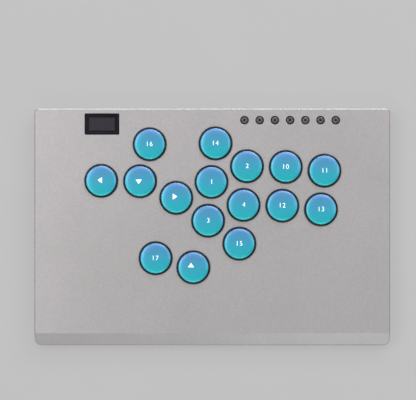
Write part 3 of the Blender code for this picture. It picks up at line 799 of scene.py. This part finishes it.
def number_mesh(value):
    """A flat numeral, centred on the origin."""
    curve = bpy.data.curves.new("number", "FONT")
    curve.body = str(value)
    curve.align_x, curve.align_y = "CENTER", "CENTER"
    curve.size = LETTER_HEIGHT
    curve.extrude = INK / 2
    curve.offset = -LETTER_THINNING
    curve.space_character = LETTER_SPACING
    curve.resolution_u = 5
    words = bpy.data.objects.new("number", curve)
    bpy.context.scene.collection.objects.link(words)
    mesh = evaluated_mesh(words)
    bpy.data.objects.remove(words)
    across = [v.co.x for v in mesh.vertices]
    along = [v.co.y for v in mesh.vertices]
    middle_x = (min(across) + max(across)) / 2
    middle_y = (min(along) + max(along)) / 2
    mesh.transform(Matrix.Translation((-middle_x, -middle_y, INK / 2)))
    return mesh


for key, place in key_places.items():
    if key in ARROWS:
        bearing, shift = ARROWS[key]
        mesh = arrow_mesh(bearing)
    else:
        shift = NUMBER_SHIFT
        mesh = number_mesh(NUMBERS[key])
    mesh.transform(Matrix.Translation((shift[0] * MM, shift[1] * MM, 0)))
    for vertex in mesh.vertices:
        vertex.co.z += cap_height(vertex.co.xy.length / MM) * MM
    mesh.transform(Matrix.Translation((place.x, place.y, 0)))
    legend = to_scene("legend_" + key, mesh, white_ink)
    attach(legend, "key_" + key)
print("arrows:", len(ARROWS), "numerals:", len(NUMBERS))

# %% [markdown]
# ## The function buttons
#
# Each is a small metal button with a small pit sunk in its middle. The pit is painted black, as
# painted shade for its dark hollow; a separate black disc would need its own place and fit. One
# turned shape does for both: the faces near the axis take the second material.

# %% Small buttons
# In millimetres, as profiles are.
BUTTON_TOP = 15.9
BUTTON_RADIUS = 2.5
FLANGE_RADIUS = 3.2
FLANGE_TOP = 11.9
BUTTON_FOOT = 11.5
PIT_RADIUS = 1.15
PIT_DEPTH = 0.4
CROWN_RADIUS = 0.6
CROWN_DEPTH = 0.3
button_profile = rounded_profile([
    (0, BUTTON_TOP - CROWN_DEPTH), (CROWN_RADIUS, BUTTON_TOP - CROWN_DEPTH),
    (PIT_RADIUS, BUTTON_TOP - PIT_DEPTH), (PIT_RADIUS, BUTTON_TOP, 0.12),
    (BUTTON_RADIUS, BUTTON_TOP, 0.35), (BUTTON_RADIUS, FLANGE_TOP), (FLANGE_RADIUS, FLANGE_TOP),
    (FLANGE_RADIUS, BUTTON_FOOT), (0, BUTTON_FOOT),
], steps=4)
button_mesh = turned_mesh("button", button_profile, steps=40)
# The faces of the middle pit, which take black as painted shade.
pit_shade_faces = [face.index for face in button_mesh.polygons
                if face.center.xy.length < PIT_RADIUS * MM and face.center.z > WEB_TOP * MM]
for node, place in zip(FUNCTIONS, function_places):
    mesh = button_mesh.copy()
    mesh.transform(Matrix.Translation((place.x, place.y, 0)))
    number = node[len("function_cap_"):]
    button = to_scene("button_" + number, mesh, dark_metal)
    # The pit's black is painted shade for the dark hollow.
    mesh.materials.append(black_gloss)
    for face in pit_shade_faces:
        mesh.polygons[face].material_index = 1
    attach(button, "function_" + number)
    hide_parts(node)
print("small buttons:", len(FUNCTIONS))

# %% [markdown]
# ## The display
#
# A black bezel steps down to an unlit screen. One flat black plate would lose the thin light line
# that the step makes, so the bezel is a solid with a recess, and the screen lies at its bottom.

# %% Bezel and screen
SCREEN = Vector((21.7 * MM, 10.9 * MM))
BEZEL_LIP = 1.5 * MM
BEZEL_STEP = 0.25 * MM
BEZEL_WELL = 0.55 * MM
BEZEL_PROUD = 0.1 * MM
STEP_CORNER = 0.5 * MM
SCREEN_CORNER = 0.2 * MM
GLASS_GAP = 0.1 * MM
GLASS_DEPTH = 0.35 * MM
BEZEL_EDGE = 0.12 * MM
GLASS_EDGE = 0.05 * MM
bezel_points = outline(WINDOW.x, WINDOW.y, [WINDOW_CORNER] * 4, WINDOW_PLACE)
bezel = solid("display_bezel", bezel_points, TOP - ROOF - POST_GAP, TOP + BEZEL_PROUD, window_black)
step_points = outline(WINDOW.x - 2 * BEZEL_LIP, WINDOW.y - 2 * BEZEL_LIP, [STEP_CORNER] * 4,
                      WINDOW_PLACE)
screen_points = outline(SCREEN.x, SCREEN.y, [SCREEN_CORNER] * 4, WINDOW_PLACE)
cut(bezel, [
    solid("step", step_points, TOP - BEZEL_STEP, over_roof),
    solid("well", screen_points, TOP - BEZEL_WELL, over_roof),
])
eased(bezel, BEZEL_EDGE)
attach(bezel, "case")
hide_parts("display_window")

glass_points = outline(SCREEN.x - GLASS_GAP, SCREEN.y - GLASS_GAP, [SCREEN_CORNER] * 4, WINDOW_PLACE)
screen = solid("display_screen", glass_points, TOP - BEZEL_WELL, TOP - GLASS_DEPTH, screen_violet)
eased(screen, GLASS_EDGE)
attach(screen, "case")
print("bezel faces:", len(bezel.data.polygons))

# %% [markdown]
# ## The data socket
#
# A rounded steel tube with a tongue in it. The tongue carries a row of gold contacts on each
# side, and a row is exactly what the repeat tree is for.

# %% Socket
SOCKET_WIDTH = 8.94 * MM
SOCKET_HEIGHT = 3.16 * MM
SHEET = 0.3 * MM
SOCKET_END = 1 * MM
SOCKET_EDGE = 0.06 * MM
TONGUE_WIDTH = 6.7 * MM
TONGUE_HALF = 0.35 * MM
TONGUE_SHORTER = 0.8 * MM
TONGUE_CORNER = 0.3 * MM
TONGUE_EDGE = 0.05 * MM
CONTACT_COUNT = 12
CONTACT_PITCH = 0.5 * MM
CONTACT_WIDTH = 0.25 * MM
CONTACT_LENGTH = 4.2 * MM
CONTACT_HEIGHT = 0.03 * MM
CONTACT_CORNER = 0.05 * MM
mouth_y = port_high.y
end_y = port_low.y + SOCKET_END
tube = slot_mesh("data_socket", SOCKET_WIDTH, SOCKET_HEIGHT, port_low.y, mouth_y, steps=12)
socket = to_scene("data_socket", tube, plated_steel)
bore = slot_mesh("socket_bore", SOCKET_WIDTH - 2 * SHEET, SOCKET_HEIGHT - 2 * SHEET, end_y,
                 mouth_y + MM, steps=12)
cut(socket, [to_scene("socket_bore", bore)])
eased(socket, SOCKET_EDGE, angle=60)
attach(socket, "case")
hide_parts("usb_socket")

tongue_y = (end_y + mouth_y - TONGUE_SHORTER) / 2
tongue_points = outline(TONGUE_WIDTH, mouth_y - end_y - TONGUE_SHORTER, [TONGUE_CORNER] * 4,
                        (port_middle.x, tongue_y), steps=3)
tongue = solid("socket_tongue", tongue_points, port_middle.z - TONGUE_HALF,
               port_middle.z + TONGUE_HALF, housing)
eased(tongue, TONGUE_EDGE)
contact_points = outline(CONTACT_WIDTH, CONTACT_LENGTH, [CONTACT_CORNER] * 4, steps=1)
contact = prism("contact", contact_points, 0, CONTACT_HEIGHT)
rows = [
    (port_middle.x + (n - (CONTACT_COUNT - 1) / 2) * CONTACT_PITCH, tongue_y, port_middle.z + side)
    for side in (TONGUE_HALF, -TONGUE_HALF - CONTACT_HEIGHT)
    for n in range(CONTACT_COUNT)
]
contacts = repeated("socket_contacts", contact, rows, gold)
for piece, slot_name in ((tongue, "switch_housing"), (contacts, "steel")):
    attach(piece, "case")

# %% [markdown]
# ## Underneath
#
# A dark plate closes the case from below, and a rubber mat with fine ridges keeps it from
# sliding. The ridges are a shape repeated along a line, so they come from the repeat tree too.
# The plate's screw holes are cones, because the screws' heads sink into them.

# %% Base plate
BASE_CORNER = 2 * MM
BASE_EDGE = 0.25 * MM
# In millimetres, as profiles are.
HEAD_HOLE = 3.1
HOLE_FOOT = 1.6
HOLE_NECK = 3.1
SCREW_NECK = 1.55
OVER_BASE = 5
base_low, base_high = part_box("base_plate")
base_size = base_high - base_low
base_points = outline(base_size.x, base_size.y, [BASE_CORNER] * 4)
base = solid("case_base", base_points, base_low.z, base_high.z, black_anodised)
cone = rounded_profile([
    (0, 0), (HEAD_HOLE, 0), (HEAD_HOLE, HOLE_FOOT), (SCREW_NECK, HOLE_NECK), (SCREW_NECK, OVER_BASE),
    (0, OVER_BASE),
])
cone_mesh = turned_mesh("base_hole", cone, steps=36)
cut(base, [repeated("base_holes", cone_mesh, footprints(case_screw_places))])
eased(base, BASE_EDGE, angle=40)
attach(base, "case")
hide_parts("base_plate")

# %% Grip mat
MAT_CORNER = 8 * MM
MAT_EDGE = 0.2 * MM
RIDGE_COUNT = 38
RIDGE_PITCH = 3.8 * MM
RIDGE_LENGTH = 248 * MM
RIDGE_WIDTH = 1.2 * MM
RIDGE_CORNER = 0.55 * MM
RIDGE_HEIGHT = 0.25 * MM
mat_low, mat_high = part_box("grip_mat")
mat_size = mat_high - mat_low
mat_points = outline(mat_size.x, mat_size.y, [MAT_CORNER] * 4)
mat = solid("grip_pad", mat_points, mat_low.z + RIDGE_HEIGHT, mat_high.z, rubber)
eased(mat, MAT_EDGE)
ridge_points = outline(RIDGE_LENGTH, RIDGE_WIDTH, [RIDGE_CORNER] * 4, steps=4)
ridge = prism("ridge", ridge_points, 0, RIDGE_HEIGHT)
rows = [(0, (n - (RIDGE_COUNT - 1) / 2) * RIDGE_PITCH, mat_low.z) for n in range(RIDGE_COUNT)]
ridges = repeated("grip_ridges", ridge, rows, rubber)
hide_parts("grip_mat")
for piece in (mat, ridges):
    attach(piece, "case")

# %% [markdown]
# ## The screws
#
# Six countersunk screws hold the base and four with round heads hold the board. A modelled helix
# would cost many faces for threads that sit in their holes. Rings with the same pitch look the
# same at this size, and they come straight from the spun profile. The hexagon is cut last.

# %% Screws
HEX_RADIUS = 1.0 * MM
HEX_DEPTH = 0.9 * MM
# In millimetres, as profiles are. A shank starts this far above the head's foot.
THREAD_RADIUS = 1.25
THREAD_DEPTH = 0.15
THREAD_PITCH = 0.5
CASE_HEAD = 2.8
CASE_HEAD_HEIGHT = 1.5
CASE_SHANK = 1.6
BOARD_HEAD = 2.4
BOARD_HEAD_HEIGHT = 1.4
BOARD_SHANK = 1.5


def threaded(start, tip):
    """The shank's profile: rings from the head to the tip, in millimetres."""
    count = int((tip - start - 0.6) / THREAD_PITCH)
    points = []
    for ring in range(count):
        low = start + ring * THREAD_PITCH
        points += [(THREAD_RADIUS, low), (THREAD_RADIUS, low + 0.1),
                   (THREAD_RADIUS - THREAD_DEPTH, low + 0.3)]
    return points + [(THREAD_RADIUS - THREAD_DEPTH, tip - 0.3), (THREAD_RADIUS - 0.4, tip), (0, tip)]


def screws(name, head, start, tip, places, nodes):
    """Screws with a hexagon socket. The head is a profile that starts on the axis, at the foot."""
    profile = rounded_profile(head + threaded(start, tip))
    one = to_scene(name + "_one", turned_mesh(name, profile, steps=40))
    foot = head[0][1] * MM
    cut(one, [cylinders("hexagon", [Vector((0, 0, 0))], HEX_RADIUS, foot - MM, foot + HEX_DEPTH,
                        segments=6)])
    one.data.set_sharp_from_angle(angle=CREASE)
    mesh = one.data
    bpy.data.objects.remove(one)
    piece = repeated(name, mesh, footprints(places), screw_steel)
    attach(piece, "case")
    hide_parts(*nodes)


case_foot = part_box(CASE_SCREWS[0])[0].z / MM
case_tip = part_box(CASE_SCREWS[0])[1].z / MM
case_head = [(0, case_foot), (CASE_HEAD, case_foot, 0.15), (THREAD_RADIUS, case_foot + CASE_HEAD_HEIGHT)]
screws("case_screws", case_head, case_foot + CASE_SHANK, case_tip, case_screw_places, CASE_SCREWS)
board_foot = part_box(BOARD_SCREWS[0])[0].z / MM
board_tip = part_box(BOARD_SCREWS[0])[1].z / MM
board_head = [
    (0, board_foot), (BOARD_HEAD, board_foot, 0.6), (BOARD_HEAD, board_foot + BOARD_HEAD_HEIGHT),
    (THREAD_RADIUS, board_foot + BOARD_HEAD_HEIGHT),
]
screws("board_screws", board_head, board_foot + BOARD_SHANK, board_tip, board_screw_places, BOARD_SCREWS)

# %% [markdown]
# ## Switch springs
#
# Each switch has a coil spring under its slider. Geometry Nodes has a spiral curve, and Curve to
# Mesh gives it a wire. A real spring flattens as its key goes down; this one keeps one shape and
# stays with the case.

# %% Spring tree
def spring_tree():
    """A coil of wire: inputs for its turns, radius, height, wire radius and material."""
    group = bpy.data.node_groups.new("coil_spring", "GeometryNodeTree")
    face = group.interface
    face.new_socket("Geometry", in_out="INPUT", socket_type="NodeSocketGeometry")
    for name in ("Turns", "Radius", "Height", "Wire"):
        face.new_socket(name, in_out="INPUT", socket_type="NodeSocketFloat")
    face.new_socket("Material", in_out="INPUT", socket_type="NodeSocketMaterial")
    face.new_socket("Geometry", in_out="OUTPUT", socket_type="NodeSocketGeometry")
    nodes = group.nodes
    start = nodes.new("NodeGroupInput")
    spiral = nodes.new("GeometryNodeCurveSpiral")
    spiral.inputs["Resolution"].default_value = 14
    wire = nodes.new("GeometryNodeCurvePrimitiveCircle")
    wire.inputs["Resolution"].default_value = 6
    tube = nodes.new("GeometryNodeCurveToMesh")
    tube.inputs["Fill Caps"].default_value = True
    real = nodes.new("GeometryNodeRealizeInstances")
    paint = nodes.new("GeometryNodeSetMaterial")
    end = nodes.new("NodeGroupOutput")
    links = group.links
    links.new(start.outputs["Turns"], spiral.inputs["Rotations"])
    links.new(start.outputs["Radius"], spiral.inputs["Start Radius"])
    links.new(start.outputs["Radius"], spiral.inputs["End Radius"])
    links.new(start.outputs["Height"], spiral.inputs["Height"])
    links.new(start.outputs["Wire"], wire.inputs["Radius"])
    links.new(spiral.outputs["Curve"], tube.inputs["Curve"])
    links.new(wire.outputs["Curve"], tube.inputs["Profile Curve"])
    links.new(tube.outputs["Mesh"], real.inputs["Geometry"])
    links.new(real.outputs["Geometry"], paint.inputs["Geometry"])
    links.new(start.outputs["Material"], paint.inputs["Material"])
    links.new(paint.outputs["Geometry"], end.inputs["Geometry"])
    return group


SPRING = spring_tree()
SPRING_SIZES = {"Turns": 4.0, "Radius": 2.2 * MM, "Height": 2.9 * MM, "Wire": 0.09 * MM}
SPRING_FOOT = 8.85 * MM
spring_carrier = bpy.data.objects.new("spring", bpy.data.meshes.new("spring"))
bpy.context.scene.collection.objects.link(spring_carrier)
modifier = spring_carrier.modifiers.new("coil", "NODES")
modifier.node_group = SPRING
named = input_names(SPRING)
for name, amount in SPRING_SIZES.items():
    modifier[named[name]] = amount
modifier[named["Material"]] = plated_steel
spring_mesh = evaluated_mesh(spring_carrier)
bpy.data.objects.remove(spring_carrier)
for key, place in key_places.items():
    mesh = spring_mesh.copy()
    mesh.transform(Matrix.Translation((place.x, place.y, SPRING_FOOT)))
    spring = to_scene("spring_" + key, mesh, plated_steel)
    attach(spring, "case")
    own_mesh(spring)
print("springs:", len(key_places), "faces each:", len(spring_mesh.polygons))

# %% [markdown]
# ## Finishes for the mechanical pieces that stay
#
# The boards, the switch plate, the display panel and the switches already have the right shape.
# They only need their finish.

# %% Carried-over pieces
KEPT = {"switch_plate": plated_steel, "main_board": board_green, "display_board": board_green,
        "display_panel": screen_violet}
KEPT.update({"switch_" + key: housing for key in KEYS})
for node, material in KEPT.items():
    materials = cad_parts[node].data.materials
    materials.clear()
    materials.append(material)
print("kept nodes:", len(KEPT))

# %% [markdown]
# ## The floor
#
# A plain pale light table, large enough that no view shows its edge. A white floor lit by the lamps
# alone would show every lamp's shadow. Most of this floor's brightness is its own even glow, so the
# shadow round the case stays faint.

# %% Floor
FLOOR_GLOW = 0.37
FLOOR_SIZE = 12
FLOOR_CORNER = 0.5
FLOOR_DEPTH = 0.02
floor_finish = moulded("pale_floor", (0.08, 0.08, 0.08), 0.9, 300, 0.001 * MM, 0.002,
                       Emission_Color=(1, 1, 1, 1), Emission_Strength=FLOOR_GLOW)
floor_points = outline(FLOOR_SIZE, FLOOR_SIZE, [FLOOR_CORNER] * 4)
floor = solid("floor", floor_points, -FLOOR_DEPTH, 0, floor_finish)
